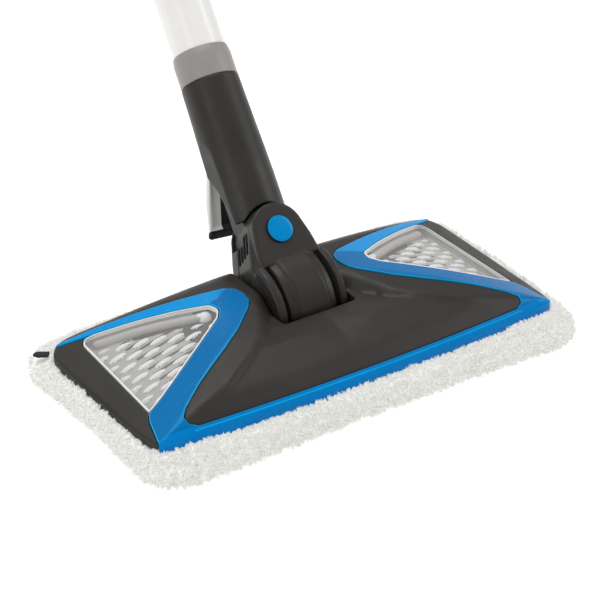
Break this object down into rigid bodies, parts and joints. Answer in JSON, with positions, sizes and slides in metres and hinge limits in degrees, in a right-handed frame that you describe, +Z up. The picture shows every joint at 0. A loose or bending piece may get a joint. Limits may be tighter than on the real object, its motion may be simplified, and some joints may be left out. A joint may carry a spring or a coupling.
{
  "type": "steam mop",
  "caption": "Slim steam mop: long flat head with a pile pad and clear windows, two-axis knuckle, wand and hand-held steam unit.",
  "frame": {"origin": "on the floor, under the middle of the head, on the pad's underside", "axes": "+Z up, front of the head at -Y, +X to the right seen from the front; the wand leans back towards +Y"},
  "size_m": [0.322, 0.8874, 0.8618],
  "materials": {
    "charcoal_plastic": "satin moulded plastic",
    "black_plastic": "matt moulded plastic",
    "blue_plastic": "glossy moulded plastic",
    "clear_plastic": "clear moulded plastic",
    "silver_plastic": "silver moulded plastic",
    "grey_plastic": "satin moulded plastic",
    "white_tube": "gloss white paint on tube",
    "rubber": "soft moulded rubber",
    "silicone": "translucent hose",
    "microfibre": "long-pile microfibre",
    "steel": "plated steel",
    "aluminium": "cast",
    "circuit_board": "lacquered board"
  },
  "bodies": {
    "head": {"pad": "microfibre", "pad_pull_tab": "rubber", "hook_strip_front": "black_plastic", "hook_strip_rear": "black_plastic", "base_plate": "black_plastic", "steam_channel": "silver_plastic", "top_cover": "charcoal_plastic", "trim_frame": "blue_plastic", "window_left": "clear_plastic", "diffuser_left": "silver_plastic", "window_right": "clear_plastic", "diffuser_right": "silver_plastic", "head_screw_1": "steel", "head_screw_2": "steel", "head_screw_3": "steel", "head_screw_4": "steel", "pitch_axle": "steel"},
    "knuckle": {"knuckle_front": "charcoal_plastic", "knuckle_rear": "charcoal_plastic", "joint_hose": "silicone", "roll_pin": "steel", "pin_cap_front": "blue_plastic", "pin_cap_rear": "charcoal_plastic"},
    "wand": {"neck_shell": "charcoal_plastic", "wand_collar": "grey_plastic", "wand_tube": "white_tube", "steam_pipe": "silicone", "pedal_pin": "steel", "wand_socket": "charcoal_plastic", "unit_shell_left": "charcoal_plastic", "unit_shell_right": "charcoal_plastic", "tank_bay": "black_plastic", "grip_insert": "rubber", "trigger_pin": "steel", "ready_light": "clear_plastic", "cord_gland": "rubber", "cord_hook_lower": "charcoal_plastic", "unit_screw_1": "steel", "unit_screw_2": "steel", "unit_screw_3": "steel", "boiler": "aluminium", "pump": "black_plastic", "control_board": "circuit_board", "steam_hose": "silicone", "water_hose": "silicone", "micro_switch": "black_plastic"},
    "pedal": {"release_pedal": "silver_plastic"},
    "socket_button": {"wand_release_button": "blue_plastic"},
    "tank": {"water_tank": "clear_plastic", "tank_valve": "rubber"},
    "cap": {"tank_cap": "blue_plastic"},
    "latch": {"tank_latch": "blue_plastic"},
    "rocker": {"power_switch": "blue_plastic"},
    "trigger": {"trigger": "blue_plastic"},
    "upper_hook": {"cord_hook_upper": "charcoal_plastic"}
  },
  "joints": [
    {"name": "foot_pitch", "type": "hinge", "parent": "head", "child": "knuckle", "pos_m": [0, 0.0195, 0.03], "axis": [-1, 0, 0], "range_deg": [-43.4, 14.6]},
    {"name": "neck_roll", "type": "hinge", "parent": "knuckle", "child": "wand", "pos_m": [0, 0.04698, 0.05906], "axis": [0, 0.7266, -0.6871], "range_deg": [-29.9, 20.1]},
    {"name": "pedal_press", "type": "hinge", "parent": "wand", "child": "pedal", "pos_m": [0.00504, 0.09537, 0.09422], "axis": [-0.9963, 0.0587, 0.0621], "range_deg": [0, 12], "stiffness_Nm_per_rad": 0.6, "springref_deg": -5.73},
    {"name": "wand_button", "type": "slide", "parent": "wand", "child": "socket_button", "axis": [0, 0.7266, -0.6871], "range_m": [0, 0.002], "stiffness_N_per_m": 1500, "springref_m": -0.0005},
    {"name": "tank_slide", "type": "slide", "parent": "wand", "child": "tank", "axis": [0, -0.7266, 0.6871], "range_m": [0, 0.06]},
    {"name": "cap_turn", "type": "hinge", "parent": "tank", "child": "cap", "pos_m": [0.07602, 0.63446, 0.72396], "axis": [0.0854, 0.6846, 0.7239], "range_deg": [0, 90]},
    {"name": "latch_press", "type": "slide", "parent": "wand", "child": "latch", "axis": [-0.0854, -0.6846, -0.7239], "range_m": [0, 0.0025], "stiffness_N_per_m": 1500, "springref_m": -0.0005},
    {"name": "power_rock", "type": "hinge", "parent": "wand", "child": "rocker", "pos_m": [0.06748, 0.60524, 0.61447], "axis": [0.9963, -0.0587, -0.0621], "range_deg": [-6, 6]},
    {"name": "trigger_pull", "type": "hinge", "parent": "wand", "child": "trigger", "pos_m": [0.0896, 0.77491, 0.80918], "axis": [0.9963, -0.0587, -0.0621], "range_deg": [0, 10], "stiffness_Nm_per_rad": 0.6, "springref_deg": -5.73},
    {"name": "hook_turn", "type": "hinge", "parent": "wand", "child": "upper_hook", "pos_m": [0.07628, 0.67749, 0.68738], "axis": [0, 0.7266, -0.6871], "range_deg": [0, 180]}
  ]
}
